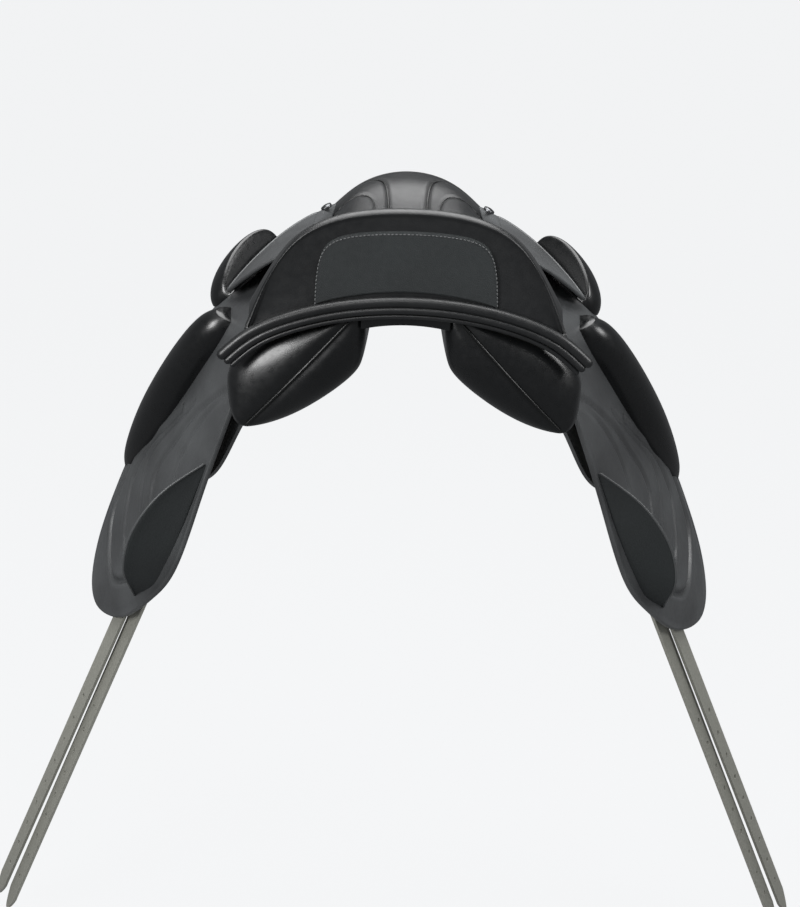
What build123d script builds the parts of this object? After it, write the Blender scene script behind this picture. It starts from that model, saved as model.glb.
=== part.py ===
"""English dressage saddle: tree, seat, panels, flaps, blocks, bars and girth billets.

Millimetres. +X is the horse's right, +Y points to its head and +Z is up. The origin is on the
roof of the channel between the panels, halfway along the saddle.
"""
from build123d import *
from math import cos, radians, sin, sqrt
import os

os.makedirs("parts", exist_ok=True)

# Seat and tree
cantle_y = -232.0  # rear face of the cantle
pommel_y = 208.0  # front edge of the pommel
cantle_height = 149.0  # top of the cantle above the channel roof
cantle_half_width = 142.0
pommel_height = 116.0
waist_half_width = 94.0  # half the seat's width where the rider's thigh passes
cover_thickness = 3.0
tree_thickness = 8.0
tree_opening_half_width = 42.0
rail_half_width = 80.0  # the tree's rails where the stirrup bars are riveted on
webbing_thickness = 2.0
webbing_half_width = 28.0
girth_web_length = 60.0

# Channel and panels
channel_half_width = 37.0
lining_thickness = 2.0
panel_depth = 61.0  # how far the panels' bearing face hangs below the channel roof
panel_half_width = 168.0
panel_gap = 0.6  # clearance left between a panel and what lies against it

# Cantle trim
back_thickness = 6.0
inset_half_width = 86.0
inset_depth = 2.5
welt_depth = 12.0
welt_height = 13.0

# Flap plane: turned out towards the front and leaning out towards the bottom
flap_yaw = 27.0
flap_spread = 0.31  # how far the flap runs out for each unit it runs down
flap_reach = 185.0  # distance of the plane from the saddle's middle, at the channel roof
flap_thickness = 6.0
flap_length = 398.0
flap_width = 259.0
keeper_slot_length = 44.0
keeper_slot_width = 9.5
keeper_slot_angle = -67.0

# Hinge line where flap and skirt are sewn to the seat
hinge_x = 102.0
hinge_z = 72.0
hinge_rear_y = -62.0
hinge_front_y = 112.0
neck_thickness = 4.0
leather_window_width = 28.0  # opening in the flap's top for the stirrup leather
leather_window_length = 42.0
leather_window_reach = 25.0  # from the hinge line to the window's middle
leather_window_lead = 12.0  # from the stirrup bar's rear end to the window's middle

skirt_thickness = 4.0
skirt_tip_x = 192.0
skirt_tip_z = 18.0
skirt_clearance = 0.5  # gap between the skirt and the block under it
skirt_swing_room = 10.0  # room kept round the skirt's edge for its lift
skirt_lift = 60.0

# Blocks on the flap
roll_height = 30.0
roll_width = 54.0
knee_block_length = 62.0
knee_block_radius = 34.0
knee_block_middle = (170.0, 66.0, 26.0)
knee_block_run = (0.66, -0.42, -0.62)  # direction of its long axis, outward and down
knee_block_foot = (160.0, 66.0, 39.5)  # a point of the flat face that lies on the flap
knee_block_foot_up = (0.449, -0.112, 0.886)
knee_block_inner_gap = 2.0  # from the leather window to the block's inner end
calf_block_height = 48.0
calf_block_thickness = 15.0

# Girth billets
billet_width = 26.0
billet_thickness = 3.5
billet_length = 890.0
billet_hole_radius = 3.0
billet_hole_pitch = 38.0
billet_hole_count = 9
billet_first_hole = 60.0  # from the tip
billet_pivot_depth = 25.0
billet_play = 2.0  # room on each face of the billets
billet_web_thickness = 2.0
billet_web_width = 56.0
billet_web_flat = 38.0  # length of the web that hangs straight between the billets
front_billet_place = 22.0  # where each billet hangs, along the top of the flap
rear_billet_place = 8.0
front_billet_slope = 18.9
rear_billet_slope = 18.0
billet_tip_length = 30.0
billet_tip_shoulder = 9.0

sweat_flap_thickness = 4.0

# Stirrup bars
bar_height = 12.0
bar_thickness = 6.0
bar_base_thickness = 4.0
bar_gap = 18.0
bar_rear_y = 36.0
bar_front_y = 128.0
bar_z = 13.0
pin_radius = 2.0
pin_clearance = 0.06
catch_lift = 3.3  # from the bar's foot to the catch's lower face
catch_length = 18.0
catch_width = 7.4

# Head plate
head_plate_thickness = 3.0
head_plate_rear_y = 146.0
head_plate_front_y = 180.0
head_plate_half_width = 68.0
head_plate_crown = 62.0
rivet_radius = 4.0
rivet_height = 2.0

# Studs
stud_radius = 6.5
stud_height = 3.0
stud_root = 6.0  # how far a stud's shank is carried down into the seat
stud_spot = (88.0, 150.0, 83.0)

yaw = radians(flap_yaw)
lean = sqrt(1 + flap_spread**2)
outward = Vector(cos(yaw), -sin(yaw), flap_spread) / lean
forward = Vector(sin(yaw), cos(yaw), 0)
flap_plane = Plane(
    origin=(flap_reach * cos(yaw), -flap_reach * sin(yaw), 0), x_dir=forward, z_dir=outward
)


def station(y):
    """Upright plane across the saddle, at a distance y in front of its middle."""
    return Plane.XZ.offset(-y)


def along(share):
    """Place along the seat: 0 at the cantle, 1 at the pommel."""
    return cantle_y + share * (pommel_y - cantle_y)


def write_pair(right, name):
    """Write a right-hand piece and its mirror image on the left."""
    with BuildPart() as left:
        mirror(right.part, about=Plane.YZ)
    right.part.label = f"{name}_right"
    left.part.label = f"{name}_left"
    export_step(right.part, f"parts/{name}_right.step")
    export_step(left.part, f"parts/{name}_left.step")


def arch(y, half_width, crown, edge, floor):
    """Draw a section that arches from side to side over a straight floor."""
    with BuildSketch(station(y)) as section:
        with BuildLine():
            top = ThreePointArc((-half_width, edge), (0, crown), (half_width, edge))
            Polyline(top @ 1, (half_width, floor), (-half_width, floor), top @ 0)
        make_face()
    return section.sketch


# ---------------------------------------------------------------- tree
# share of the seat's length, half width, height at the middle and at the rail
tree_stations = [
    (0.03, 106.0, 126.0, 70.0),
    (0.16, 110.0, 64.0, 46.0),
    (0.36, 96.0, 32.0, 24.0),
    (0.56, rail_half_width, 30.0, 20.0),
    (0.76, rail_half_width, 52.0, 20.0),
    (0.94, 78.0, 86.0, 24.0),
]

with BuildPart() as tree_envelope:
    loft([arch(along(share), half, crown, edge, -20) for share, half, crown, edge in tree_stations])

with BuildPart() as tree:
    for share, half, crown, edge in tree_stations:
        drop = tree_thickness
        with BuildSketch(station(along(share))):
            with BuildLine():
                outer = ThreePointArc((-half, edge), (0, crown), (half, edge))
                inner = ThreePointArc(
                    (-half + drop * 0.6, edge - drop * 0.8),
                    (0, crown - drop),
                    (half - drop * 0.6, edge - drop * 0.8),
                )
                Line(outer @ 0, inner @ 0)
                Line(outer @ 1, inner @ 1)
            make_face()
    loft()
    with BuildSketch(Plane.XY.offset(-20)):
        with Locations((0, (along(0.2) + along(0.72)) / 2)):
            SlotOverall(along(0.72) - along(0.2), 2 * tree_opening_half_width, rotation=90)
    extrude(amount=200, mode=Mode.SUBTRACT)

tree.part.label = "tree"
export_step(tree.part, "parts/tree.step")

# ---------------------------------------------------------------- webbing on the tree
# The long strap follows the top of the tree; the girth strap crosses over it.
with BuildPart() as seat_webbing:
    add(tree_envelope.part.moved(Location((0, 0, webbing_thickness))))
    add(tree_envelope.part, mode=Mode.SUBTRACT)
    with Locations((0, (along(0.1) + along(0.88)) / 2, 60)):
        Box(2 * webbing_half_width, along(0.88) - along(0.1), 200, mode=Mode.INTERSECT)
    add(tree.part, mode=Mode.SUBTRACT)

seat_webbing.part.label = "seat_webbing"
export_step(seat_webbing.part, "parts/seat_webbing.step")

with BuildPart() as girth_webbing:
    add(tree_envelope.part.moved(Location((0, 0, 2 * webbing_thickness))))
    add(tree_envelope.part.moved(Location((0, 0, webbing_thickness))), mode=Mode.SUBTRACT)
    with Locations((0, along(0.4), 60)):
        Box(150, girth_web_length, 200, mode=Mode.INTERSECT)

girth_webbing.part.label = "girth_webbing"
export_step(girth_webbing.part, "parts/girth_webbing.step")

# ---------------------------------------------------------------- seat
# share of the length, half width, side height, shoulder height, crown, side floor, mid floor
seat_stations = [
    (0.00, cantle_half_width, 43.0, 126.0, cantle_height, 32.0, 66.0),
    (0.07, cantle_half_width - 2, 54.0, 116.0, cantle_height - 19, 30.0, 40.0),
    (0.20, 128.0, 52.0, 72.0, 72.0, 26.0, 20.0),
    (0.42, waist_half_width + 5, 46.0, 56.0, 52.0, 29.0, 14.0),
    (0.64, waist_half_width, 54.0, 62.0, 60.0, 31.0, 14.0),
    (0.84, waist_half_width - 3, 66.0, 88.0, 90.0, 36.0, 24.0),
    (1.00, waist_half_width - 8, 78.0, 100.0, pommel_height, 52.0, 70.0),
]


def seat_section(y, half, side, shoulder, crown, side_floor, mid_floor, inset):
    """Draw the seat's section: a sprung top over an arched floor, shrunk by an inset."""
    half -= inset
    top_points = [
        (-half, side - inset),
        (-half * 0.66, shoulder - inset),
        (0, crown - inset),
        (half * 0.66, shoulder - inset),
        (half, side - inset),
    ]
    with BuildSketch(station(y)) as section:
        with BuildLine():
            top = Spline(top_points)
            bottom = ThreePointArc((-half, side_floor), (0, mid_floor), (half, side_floor))
            Line(top @ 0, bottom @ 0)
            Line(top @ 1, bottom @ 1)
        make_face()
    return section.sketch


with BuildPart() as seat_outer:
    loft([seat_section(along(share), *shape, 0) for share, *shape in seat_stations])

with BuildPart() as seat_inner:
    loft(
        [
            seat_section(along(min(share, 0.993)), *shape, cover_thickness)
            for share, *shape in seat_stations
        ]
    )

with BuildPart() as seat_foam:
    add(seat_inner.part)
    add(tree_envelope.part, mode=Mode.SUBTRACT)
    add(seat_webbing.part, mode=Mode.SUBTRACT)
    add(girth_webbing.part, mode=Mode.SUBTRACT)

seat_foam.part.label = "seat_foam"
export_step(seat_foam.part, "parts/seat_foam.step")

with BuildPart() as seat_cover:
    add(seat_outer.part)
    add(seat_inner.part, mode=Mode.SUBTRACT)
    add(tree_envelope.part, mode=Mode.SUBTRACT)
    add(tree.part, mode=Mode.SUBTRACT)

seat_cover.part.label = "seat_cover"
export_step(seat_cover.part, "parts/seat_cover.step")

# ---------------------------------------------------------------- cantle back and its inset
with BuildPart() as cantle_back:
    with BuildSketch(station(cantle_y)):
        with BuildLine():
            rim = Spline(
                (-cantle_half_width, 43),
                (-cantle_half_width * 0.66, 126),
                (0, cantle_height),
                (cantle_half_width * 0.66, 126),
                (cantle_half_width, 43),
            )
            base = ThreePointArc((-cantle_half_width, 34), (0, 71), (cantle_half_width, 34))
            Line(rim @ 0, base @ 0)
            Line(rim @ 1, base @ 1)
        make_face()
    extrude(amount=back_thickness)
    with BuildSketch(station(cantle_y - back_thickness)) as inset_outline:
        with BuildLine():
            inset_top = ThreePointArc(
                (-inset_half_width * 0.84, 122), (0, 139), (inset_half_width * 0.84, 122)
            )
            inset_foot = ThreePointArc((-inset_half_width, 66), (0, 80), (inset_half_width, 66))
            Line(inset_top @ 0, inset_foot @ 0)
            Line(inset_top @ 1, inset_foot @ 1)
        make_face()
        fillet(inset_outline.vertices(), radius=9)
    extrude(inset_outline.sketch, amount=inset_depth, dir=(0, 1, 0), mode=Mode.SUBTRACT)

cantle_back.part.label = "cantle_back"
export_step(cantle_back.part, "parts/cantle_back.step")

with BuildPart() as cantle_inset:
    extrude(inset_outline.sketch, amount=inset_depth, dir=(0, 1, 0))

cantle_inset.part.label = "cantle_inset"
export_step(cantle_inset.part, "parts/cantle_inset.step")

# ---------------------------------------------------------------- rear welt over the panels
with BuildPart() as rear_welt:
    with BuildSketch(station(cantle_y)) as welt_outline:
        with BuildLine():
            welt_top = Spline(
                (-panel_half_width + 1, 16),
                (-103, 56),
                (0, 70),
                (103, 56),
                (panel_half_width - 1, 16),
            )
            welt_foot = Spline(
                (-panel_half_width - 2, 6),
                (-103, 56 - welt_height),
                (0, 70 - welt_height),
                (103, 56 - welt_height),
                (panel_half_width + 2, 6),
            )
            Line(welt_top @ 0, welt_foot @ 0)
            Line(welt_top @ 1, welt_foot @ 1)
        make_face()
    extrude(amount=welt_depth)
    add(cantle_back.part, mode=Mode.SUBTRACT)

rear_welt.part.label = "rear_welt"
export_step(rear_welt.part, "parts/rear_welt.step")

# ---------------------------------------------------------------- channel lining
with BuildPart() as channel_lining:
    with BuildSketch(Plane.YZ):
        with BuildLine():
            roof = Spline(
                (along(0.005), 44), (along(0.2), 22), (0, 0), (along(0.78), 24), (along(0.92), 48)
            )
            cover = Spline([Vector(0, lining_thickness) + roof @ t for t in (0, 0.3, 0.55, 0.8, 1)])
            Line(roof @ 0, cover @ 0)
            Line(roof @ 1, cover @ 1)
        make_face()
    extrude(amount=channel_half_width - panel_gap, both=True)

channel_lining.part.label = "channel_lining"
export_step(channel_lining.part, "parts/channel_lining.step")

# ---------------------------------------------------------------- head plate
with BuildPart() as head_plate:
    with BuildSketch(station(head_plate_front_y)):
        with BuildLine():
            outer_half = head_plate_half_width
            inner_half = head_plate_half_width - head_plate_thickness
            outer = ThreePointArc((-outer_half, 8), (0, head_plate_crown), (outer_half, 8))
            inner = ThreePointArc(
                (-inner_half, 8), (0, head_plate_crown - head_plate_thickness), (inner_half, 8)
            )
            Polyline(outer @ 0, (-outer_half, -25), (-inner_half, -25), inner @ 0)
            Polyline(outer @ 1, (outer_half, -25), (inner_half, -25), inner @ 1)
        make_face()
    extrude(amount=head_plate_front_y - head_plate_rear_y)
    add(tree.part, mode=Mode.SUBTRACT)
    add(channel_lining.part, mode=Mode.SUBTRACT)

head_plate.part.label = "head_plate"
export_step(head_plate.part, "parts/head_plate.step")

with BuildPart() as head_plate_rivets:
    for side in (-1, 1):
        for rivet_z in (-14, 2):
            face_x = side * (head_plate_half_width - head_plate_thickness)
            spot = Plane((face_x, 163, rivet_z), x_dir=(0, 1, 0), z_dir=(-side, 0, 0))
            with BuildSketch(spot):
                Circle(rivet_radius)
            extrude(amount=rivet_height)

head_plate_rivets.part.label = "head_plate_rivets"
export_step(head_plate_rivets.part, "parts/head_plate_rivets.step")

# ---------------------------------------------------------------- panels
# Each section runs from the channel under the panel and back over its top.
panel_stations = [
    (0.01, [(38, 56), (38, 16), (48, -8), (75, -30), (110, -51), (143, -61), (163, -52),
            (168, -25), (163, 0), (138, 27), (103, 41), (62, 55)]),
    (0.19, [(38, 34), (38, 4), (46, -16), (66, -34), (92, -48), (118, -55), (136, -48),
            (144, -25), (138, 2), (116, 20), (88, 30), (60, 36)]),
    (0.42, [(38, 8), (38, -8), (46, -24), (62, -38), (84, -50), (104, -55), (120, -48),
            (126, -30), (120, -12), (104, 2), (84, 6), (58, 8)]),
    (0.65, [(38, 4), (40, -12), (48, -28), (62, -42), (82, -54), (100, -58), (114, -50),
            (120, -32), (114, -12), (100, 0), (82, 4), (58, 4)]),
    (0.93, [(44, 14), (46, -4), (54, -26), (68, -44), (86, -56), (102, -60), (114, -52),
            (120, -34), (116, -14), (104, 0), (84, 8), (62, 14)]),
]


def panel_section(y, points):
    """Draw a closed soft section through points of the right panel, scaled to its size."""
    wide = panel_half_width / 168
    deep = panel_depth / 61
    outline = [
        (channel_half_width + panel_gap + (x - 37.6) * wide, z * deep if z < 0 else z)
        for x, z in points
    ]
    with BuildSketch(station(y)) as section:
        with BuildLine():
            Spline(outline, periodic=True)
        make_face()
    return section.sketch


with BuildPart() as panel:
    loft([panel_section(along(share), points) for share, points in panel_stations])
    add(tree.part, mode=Mode.SUBTRACT)
    add(rear_welt.part, mode=Mode.SUBTRACT)
    add(head_plate.part, mode=Mode.SUBTRACT)
    add(head_plate_rivets.part, mode=Mode.SUBTRACT)
    add(channel_lining.part, mode=Mode.SUBTRACT)
    add(seat_outer.part, mode=Mode.SUBTRACT)
    add(seat_foam.part, mode=Mode.SUBTRACT)
    add(cantle_back.part, mode=Mode.SUBTRACT)

write_pair(panel, "panel")

# ---------------------------------------------------------------- flap
# Outline in the flap's own plane: first number forward, second number up.
wide = flap_width / 259
long = flap_length / 398
flap_rear = [(-18, 0), (-16, -62), (-1, -156), (8, -230), (24, -287), (62, -330), (110, -368)]
flap_toe = [(110, -368), (160, -391), (209, -398), (245, -378), (258, -330)]
flap_front = [(258, -330), (245, -262), (222, -198), (178, -114), (118, 0)]


def on_flap(points):
    """Scale points of the flap's outline to its width and length."""
    return [(x * wide, y * long) for x, y in points]


neck_foot = Plane(
    origin=flap_plane.from_local_coords(Vector((118 - 18) / 2 * wide, 0, -flap_thickness / 2)),
    x_dir=forward,
    z_dir=flap_plane.y_dir,
)
hinge_middle_y = (hinge_rear_y + hinge_front_y) / 2
neck_head = Plane(
    origin=(hinge_x + 2, hinge_middle_y, hinge_z - 3),
    x_dir=(0, 1, 0),
    z_dir=(-0.8, 0, 0.6),
)

slot_spot = (4 * wide, -103 * long)

with BuildPart() as flap:
    with BuildSketch(flap_plane) as flap_outline:
        with BuildLine():
            Spline(on_flap(flap_rear))
            Spline(on_flap(flap_toe))
            Spline(on_flap(flap_front))
            Line(on_flap(flap_front)[-1], on_flap(flap_rear)[0])
        make_face()
    extrude(amount=-flap_thickness)
    with BuildSketch(flap_plane):
        with Locations(slot_spot):
            SlotOverall(keeper_slot_length, keeper_slot_width, rotation=keeper_slot_angle)
    extrude(amount=-flap_thickness, mode=Mode.SUBTRACT)

with BuildPart() as flap_neck:
    with BuildSketch(neck_foot):
        Rectangle(136 * wide, neck_thickness)
    with BuildSketch(neck_head):
        Rectangle(hinge_front_y - hinge_rear_y, neck_thickness)
    loft(ruled=True)
    with Locations((hinge_x + leather_window_reach, bar_rear_y + leather_window_lead, 60)):
        Box(leather_window_width, leather_window_length, 200, mode=Mode.SUBTRACT)

with BuildPart() as whole_flap:
    add(flap.part)
    add(flap_neck.part)

write_pair(whole_flap, "flap")

# ---------------------------------------------------------------- skirt
with BuildPart() as skirt:
    with BuildSketch(station(-80)):
        with BuildLine():
            over = ThreePointArc(
                (hinge_x + 2, hinge_z + 7),
                ((hinge_x + skirt_tip_x) / 2 + 6, (hinge_z + skirt_tip_z) / 2 + 13),
                (skirt_tip_x, skirt_tip_z),
            )
            under = ThreePointArc(
                (hinge_x + 2, hinge_z + 7 - skirt_thickness),
                (
                    (hinge_x + skirt_tip_x) / 2 + 6 - skirt_thickness * 0.5,
                    (hinge_z + skirt_tip_z) / 2 + 13 - skirt_thickness * 0.9,
                ),
                (skirt_tip_x - skirt_thickness, skirt_tip_z),
            )
            Line(over @ 0, under @ 0)
            Line(over @ 1, under @ 1)
        make_face()
    extrude(amount=-240)
    with BuildSketch(Plane.XY) as leaf:
        with BuildLine():
            Spline(
                (hinge_x + 1, hinge_rear_y),
                (skirt_tip_x - 26, -34),
                (skirt_tip_x + 1, 12),
                (skirt_tip_x - 22, 56),
                (hinge_x + 1, hinge_front_y + 34),
            )
            Line((hinge_x + 1, hinge_front_y + 34), (hinge_x + 1, hinge_rear_y))
        make_face()
    extrude(amount=150, mode=Mode.INTERSECT)

write_pair(skirt, "skirt")

# The space that the skirt passes through as it lifts: its own arch with everything above it, out
# to the circle that its tip draws round the hinge line.
with BuildPart() as skirt_path:
    tip_reach = sqrt((skirt_tip_x - hinge_x) ** 2 + (hinge_z + 4 - skirt_tip_z) ** 2) + 1.5
    half_way = radians(skirt_lift / 2 - 32)
    top_angle = radians(skirt_lift + 4 - 32)
    with BuildSketch(station(-80)):
        with BuildLine():
            low = ThreePointArc(
                (hinge_x, hinge_z + 7 - skirt_thickness - skirt_clearance),
                (
                    (hinge_x + skirt_tip_x) / 2 + 6 - skirt_thickness * 0.5,
                    (hinge_z + skirt_tip_z) / 2 + 13 - skirt_thickness * 0.9 - skirt_clearance,
                ),
                (skirt_tip_x - skirt_thickness - skirt_clearance, skirt_tip_z - 2),
            )
            outer_end = (hinge_x + 0.84 * tip_reach, hinge_z + 4 - 0.54 * tip_reach)
            tip_path = ThreePointArc(
                outer_end,
                (
                    hinge_x + tip_reach * cos(half_way),
                    hinge_z + 4 + tip_reach * sin(half_way),
                ),
                (
                    hinge_x + tip_reach * cos(top_angle),
                    hinge_z + 4 + tip_reach * sin(top_angle),
                ),
            )
            Polyline(low @ 1, outer_end)
            Polyline(tip_path @ 1, (hinge_x, hinge_z + tip_reach), low @ 0)
        make_face()
    extrude(amount=-240)
    with BuildSketch(Plane.XY):
        with BuildLine():
            Polyline(
                (hinge_x - 5, hinge_rear_y - skirt_swing_room),
                (skirt_tip_x - 26 + skirt_swing_room, -34 - skirt_swing_room),
                (skirt_tip_x + 1 + skirt_swing_room, 0),
                (skirt_tip_x + 1 + skirt_swing_room, 24),
                (skirt_tip_x - 22 + skirt_swing_room, 56 + skirt_swing_room * 0.4),
                (hinge_x - 5, hinge_front_y + 34 + skirt_swing_room),
                close=True,
            )
        make_face()
    extrude(amount=250, mode=Mode.INTERSECT)

# ---------------------------------------------------------------- thigh roll
# share of the roll's run: place on the flap, width, height
roll_stations = [
    ((66, -8), 40, 26),
    ((100, -52), 50, 30),
    ((132, -96), 54, 30),
    ((164, -142), 50, 27),
    ((198, -186), 36, 20),
    ((228, -226), 12, 7),
]


def roll_section(index):
    """Draw a low arch that stands on the flap, square to the roll's run."""
    here, width, height = roll_stations[index]
    before = roll_stations[max(index - 1, 0)][0]
    after = roll_stations[min(index + 1, len(roll_stations) - 1)][0]
    run = Vector(after[0] - before[0], after[1] - before[1], 0).normalized()
    across = Vector(-run.Y, run.X, 0)
    plane = Plane(
        origin=flap_plane.from_local_coords(Vector(here[0] * wide, here[1] * long, 0)),
        x_dir=flap_plane.x_dir * across.X + flap_plane.y_dir * across.Y,
        z_dir=flap_plane.x_dir * run.X + flap_plane.y_dir * run.Y,
    )
    rise = 1 if plane.y_dir.dot(outward) > 0 else -1
    half = width * roll_width / 54 / 2
    top = rise * height * roll_height / 30
    with BuildSketch(plane) as section:
        with BuildLine():
            over = Spline(
                (-half, 0), (-half * 0.7, top * 0.72), (0, top), (half * 0.7, top * 0.72), (half, 0)
            )
            Line(over @ 0, over @ 1)
        make_face()
    return section.sketch


with BuildPart() as thigh_roll:
    loft([roll_section(index) for index in range(len(roll_stations))])

write_pair(thigh_roll, "thigh_roll")

# ---------------------------------------------------------------- knee block
knee_spot = Vector(*knee_block_middle)
knee_run = Vector(*knee_block_run).normalized()
window_edge_x = hinge_x + leather_window_reach + leather_window_width / 2

with BuildPart() as knee_block:
    knee_plane = Plane(origin=knee_spot, x_dir=knee_run, z_dir=knee_run.cross(Vector(0, 0, 1)))
    with BuildSketch(knee_plane):
        with BuildLine():
            Line((-knee_block_length, 0), (knee_block_length, 0))
            Spline(
                (knee_block_length, 0),
                (knee_block_length * 0.7, knee_block_radius * 0.72),
                (0, knee_block_radius),
                (-knee_block_length * 0.7, knee_block_radius * 0.72),
                (-knee_block_length, 0),
            )
        make_face()
    revolve(axis=Axis(knee_spot, knee_run))
    split(bisect_by=Plane(origin=knee_block_foot, z_dir=knee_block_foot_up))
    inner_end = (window_edge_x + knee_block_inner_gap, 0, 0)
    split(bisect_by=Plane(origin=inner_end, z_dir=(1, 0, 0)))
    add(thigh_roll.part, mode=Mode.SUBTRACT)
    add(skirt_path.part, mode=Mode.SUBTRACT)

write_pair(knee_block, "knee_block")

# ---------------------------------------------------------------- calf block
# A wall along the flap's rear edge that leans forward and thins towards its crest.
calf_foot = [(8, -170), (15, -218), (32, -278), (66, -322), (104, -350)]
calf_rise = [8, 38, 48, 36, 10]

with BuildPart() as calf_block:
    sections = []
    for index, (foot, rise) in enumerate(zip(calf_foot, calf_rise)):
        before = calf_foot[max(index - 1, 0)]
        after = calf_foot[min(index + 1, len(calf_foot) - 1)]
        run = Vector(after[0] - before[0], after[1] - before[1], 0).normalized()
        across = Vector(-run.Y, run.X, 0)
        section_plane = Plane(
            origin=flap_plane.from_local_coords(Vector(foot[0] * wide, foot[1] * long, 0)),
            x_dir=flap_plane.x_dir * across.X + flap_plane.y_dir * across.Y,
            z_dir=flap_plane.x_dir * run.X + flap_plane.y_dir * run.Y,
        )
        up = 1 if section_plane.y_dir.dot(outward) > 0 else -1
        tall = rise * calf_block_height / 48
        wall = calf_block_thickness
        with BuildSketch(section_plane) as calf_section:
            with BuildLine():
                Polyline(
                    (0, 0),
                    (wall * 0.5, up * tall),
                    (wall * 0.9, up * tall),
                    (wall + tall * 0.45, 0),
                    close=True,
                )
            make_face()
        sections.append(calf_section.sketch)
    loft(sections)

write_pair(calf_block, "calf_block")

# ---------------------------------------------------------------- billets, web and sweat flap
# Layers behind the flap, from the outside in: front billet, web, rear billet, sweat flap.
front_billet_face = -(flap_thickness + billet_play)
web_face = front_billet_face - billet_thickness - billet_play / 2
rear_billet_face = web_face - billet_web_thickness - billet_play / 2
sweat_flap_face = rear_billet_face - billet_thickness - billet_play


def billet_part(pivot, slope, face):
    """Make one billet that hangs from a pivot in the flap's plane, with its row of holes."""
    run = Vector(sin(radians(slope)), -cos(radians(slope)), 0)
    start = Vector(pivot[0], pivot[1], face) - run * (billet_width / 2)
    hang = Plane(
        origin=flap_plane.from_local_coords(start),
        x_dir=flap_plane.x_dir * run.X + flap_plane.y_dir * run.Y,
        z_dir=outward,
    )
    half = billet_width / 2
    with BuildPart() as strap:
        with BuildSketch(hang):
            with BuildLine():
                head = ThreePointArc((half, half), (0, 0), (half, -half))
                Line(head @ 1, (billet_length - billet_tip_length, -half))
                tip = Spline(
                    (billet_length - billet_tip_length, -half),
                    (billet_length - billet_tip_shoulder, -half * 0.55),
                    (billet_length, 0),
                    (billet_length - billet_tip_shoulder, half * 0.55),
                    (billet_length - billet_tip_length, half),
                )
                Line(tip @ 1, head @ 0)
            make_face()
        extrude(amount=-billet_thickness)
        with BuildSketch(hang):
            for number in range(billet_hole_count):
                from_tip = billet_first_hole + number * billet_hole_pitch
                with Locations((billet_length - from_tip, 0)):
                    Circle(billet_hole_radius)
        extrude(amount=-billet_thickness, mode=Mode.SUBTRACT)
    return strap


front_pivot = (front_billet_place * wide, -billet_pivot_depth)
front_billet = billet_part(front_pivot, front_billet_slope, front_billet_face)
write_pair(front_billet, "front_billet")

rear_pivot = (rear_billet_place * wide, -billet_pivot_depth)
rear_billet = billet_part(rear_pivot, rear_billet_slope, rear_billet_face)
write_pair(rear_billet, "rear_billet")

with BuildPart() as billet_web:
    web_low = Plane(
        origin=flap_plane.from_local_coords(
            Vector(10 * wide, -billet_pivot_depth - 22, web_face - billet_web_thickness / 2)
        ),
        x_dir=forward,
        z_dir=flap_plane.y_dir,
    )
    with BuildSketch(web_low):
        Rectangle(billet_web_width, billet_web_thickness)
    extrude(amount=billet_web_flat)
    with BuildSketch(web_low.offset(billet_web_flat)):
        Rectangle(billet_web_width, billet_web_thickness)
    with BuildSketch(Plane(origin=(99, -52, 22), x_dir=(0, 1, 0), z_dir=(-1, 0, 0.2))):
        Rectangle(billet_web_width, billet_web_thickness)
    loft(ruled=True)
    add(tree.part, mode=Mode.SUBTRACT)
    add(panel.part, mode=Mode.SUBTRACT)

write_pair(billet_web, "billet_web")

with BuildPart() as sweat_flap:
    with BuildSketch(flap_plane.offset(sweat_flap_face)):
        with BuildLine():
            edge = Spline(
                on_flap(
                    [(-30, -18), (-24, -62), (-2, -112), (20, -158), (46, -180), (90, -194),
                     (138, -196), (162, -172), (150, -128), (118, -78), (88, -18)]
                )
            )
            Line(edge @ 1, edge @ 0)
        make_face()
    extrude(amount=-sweat_flap_thickness)

write_pair(sweat_flap, "sweat_flap")

# ---------------------------------------------------------------- stirrup bars
base_x = rail_half_width
bar_x = base_x + bar_base_thickness + bar_gap
middle_y = (bar_rear_y + bar_front_y) / 2

with BuildPart() as stirrup_bar:
    with BuildSketch(Plane.XY.offset(bar_z)):
        with Locations((base_x + bar_base_thickness / 2, middle_y)):
            Rectangle(bar_base_thickness, bar_front_y - bar_rear_y + 16)
        with Locations((base_x + (bar_gap + bar_thickness) / 2 + 2, bar_front_y)):
            Rectangle(bar_gap + bar_thickness + 4, bar_thickness)
        with Locations((bar_x + bar_thickness / 2 - 2, middle_y + 4)):
            Rectangle(bar_thickness, bar_front_y - bar_rear_y - 2)
    extrude(amount=bar_height)
    ear = Plane.XY.offset(bar_z)
    with BuildSketch(ear):
        with Locations((base_x + bar_base_thickness + 5, bar_rear_y)):
            Rectangle(12, 10)
    extrude(amount=3)
    with BuildSketch(ear):
        with Locations((base_x + bar_base_thickness + 6, bar_rear_y)):
            Circle(pin_radius)
    extrude(amount=bar_height)
    add(tree.part, mode=Mode.SUBTRACT)

write_pair(stirrup_bar, "stirrup_bar")

with BuildPart() as bar_catch:
    with BuildSketch(Plane.XY.offset(bar_z + catch_lift)):
        with Locations((base_x + bar_base_thickness + 6 + 5, bar_rear_y)):
            SlotOverall(catch_length, catch_width)
        with Locations((base_x + bar_base_thickness + 6, bar_rear_y)):
            Circle(pin_radius + pin_clearance, mode=Mode.SUBTRACT)
    extrude(amount=bar_height - 4)

write_pair(bar_catch, "bar_catch")

with BuildPart() as bar_rivets:
    for rivet_y in (bar_rear_y + 24, middle_y, bar_front_y - 14):
        rivet_spot = (base_x + bar_base_thickness, rivet_y, bar_z + bar_height / 2)
        head = Plane(rivet_spot, x_dir=(0, 1, 0), z_dir=(1, 0, 0))
        with BuildSketch(head):
            Circle(rivet_radius)
        extrude(amount=rivet_height)

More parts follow.
